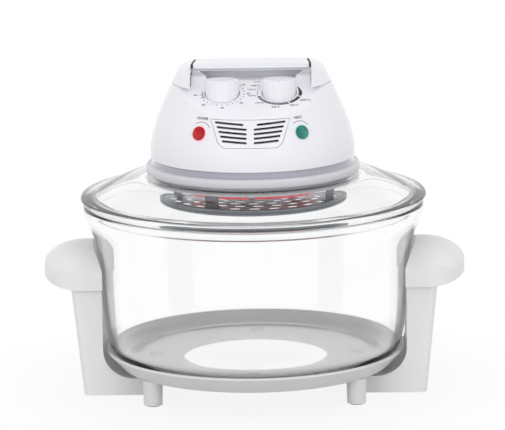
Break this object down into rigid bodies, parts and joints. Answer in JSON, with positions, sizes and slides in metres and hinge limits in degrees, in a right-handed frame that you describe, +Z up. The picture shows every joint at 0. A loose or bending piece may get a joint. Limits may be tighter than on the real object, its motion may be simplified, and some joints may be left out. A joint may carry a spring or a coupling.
{
  "type": "halogen oven",
  "caption": "Countertop halogen oven: glass bowl in a stand with side handles, glass lid with a heater head, knobs, fan and fold-down carry handle.",
  "frame": {"origin": "centre of the bounding box's bottom face, on the floor under the bowl's axis", "axes": "+Z up, +X to the right of someone who faces the controls, which look along -Y"},
  "size_m": [0.4058, 0.333, 0.319],
  "materials": {
    "head_plastic": "glossy white moulded plastic",
    "handle_plastic": "satin warm white moulded plastic",
    "trim_plastic": "glossy grey band",
    "clear_glass": "clear tempered glass",
    "quartz_red": "ruby quartz tube",
    "lens_red": "red lamp lens",
    "lens_green": "green lamp lens",
    "steel": "stainless sheet",
    "dark_steel": "dark sheet steel",
    "bright_steel": "bright plated steel",
    "polished_aluminium": "polished",
    "screw_steel": "zinc plated",
    "silicone": "translucent grey silicone",
    "pad_rubber": "black rubber",
    "ceramic_white": "unglazed ceramic",
    "black_plastic": "matte",
    "grey_plastic": "matte",
    "core_steel": "laminated",
    "grip_rubber": "black rubber",
    "copper_tape": "amber coil tape",
    "brass": "plain"
  },
  "bodies": {
    "stand": {"stand_ring": "handle_plastic", "feet": "handle_plastic", "foot_pads": "pad_rubber", "bowl_pads": "silicone", "stand_screws": "screw_steel", "right_handle": "handle_plastic", "left_handle": "handle_plastic", "right_handle_cover": "handle_plastic", "left_handle_cover": "handle_plastic"},
    "bowl": {"glass_bowl": "clear_glass"},
    "lid": {"glass_lid": "clear_glass", "upper_gasket": "silicone", "lower_gasket": "silicone", "clamp_ring": "steel", "clamp_screws": "screw_steel", "lid_collar": "head_plastic", "trim_ring": "trim_plastic", "head_cover": "head_plastic", "head_screws": "screw_steel", "vent_grille": "head_plastic", "power_lamp_lens": "lens_red", "heat_lamp_lens": "lens_green", "power_lamp_holder": "black_plastic", "heat_lamp_holder": "black_plastic", "timer_body": "grey_plastic", "thermostat_body": "ceramic_white", "thermostat_bulb": "bright_steel", "safety_switch": "black_plastic", "heat_shield": "steel", "reflector": "polished_aluminium", "reflector_spacers": "ceramic_white", "halogen_tube": "quartz_red", "lamp_end_caps": "ceramic_white", "lamp_clips": "bright_steel", "guard": "bright_steel", "guard_struts": "dark_steel", "lower_bearing_bracket": "steel", "upper_bearing_bracket": "steel", "motor_core": "core_steel", "motor_coil": "copper_tape", "motor_screws": "screw_steel", "thermal_cutout": "ceramic_white", "terminal_block": "grey_plastic", "cord_gland": "black_plastic"},
    "carry_handle": {"carry_handle": "head_plastic", "grip_inlays": "grip_rubber", "pivot_pins": "steel"},
    "switch_button": {"switch_button": "black_plastic"},
    "timer_knob": {"timer_knob": "head_plastic", "timer_shaft": "steel"},
    "thermostat_knob": {"thermostat_knob": "head_plastic", "thermostat_shaft": "steel"},
    "fan": {"motor_shaft": "steel", "hot_air_fan": "polished_aluminium", "fan_nut": "brass", "cooling_fan": "black_plastic", "motor_rotor": "core_steel"}
  },
  "joints": [
    {"name": "bowl_lift", "type": "slide", "parent": "stand", "child": "bowl", "axis": [0, 0, 1], "range_m": [0, 0.16]},
    {"name": "lid_lift", "type": "slide", "parent": "bowl", "child": "lid", "axis": [0, 0, 1], "range_m": [0, 0.1]},
    {"name": "handle_fold", "type": "hinge", "parent": "lid", "child": "carry_handle", "pos_m": [0, 0.024, 0.3035], "axis": [-1, 0, 0], "range_deg": [0, 90]},
    {"name": "switch_travel", "type": "slide", "parent": "lid", "child": "switch_button", "axis": [0, 0, 1], "range_m": [0, 0.003]},
    {"name": "timer_turn", "type": "hinge", "parent": "lid", "child": "timer_knob", "pos_m": [-0.027, -0.044, 0.3], "axis": [0, 0, -1], "range_deg": [0, 300]},
    {"name": "thermostat_turn", "type": "hinge", "parent": "lid", "child": "thermostat_knob", "pos_m": [0.027, -0.044, 0.3], "axis": [0, 0, -1], "range_deg": [0, 270]},
    {"name": "fan_spin", "type": "hinge", "parent": "lid", "child": "fan", "pos_m": [0, 0, 0.2], "axis": [0, 0, 1], "continuous": true}
  ],
  "couplings": [
    {"joint": "switch_travel", "follows": "handle_fold", "m_per_rad": 0.0019099}
  ]
}
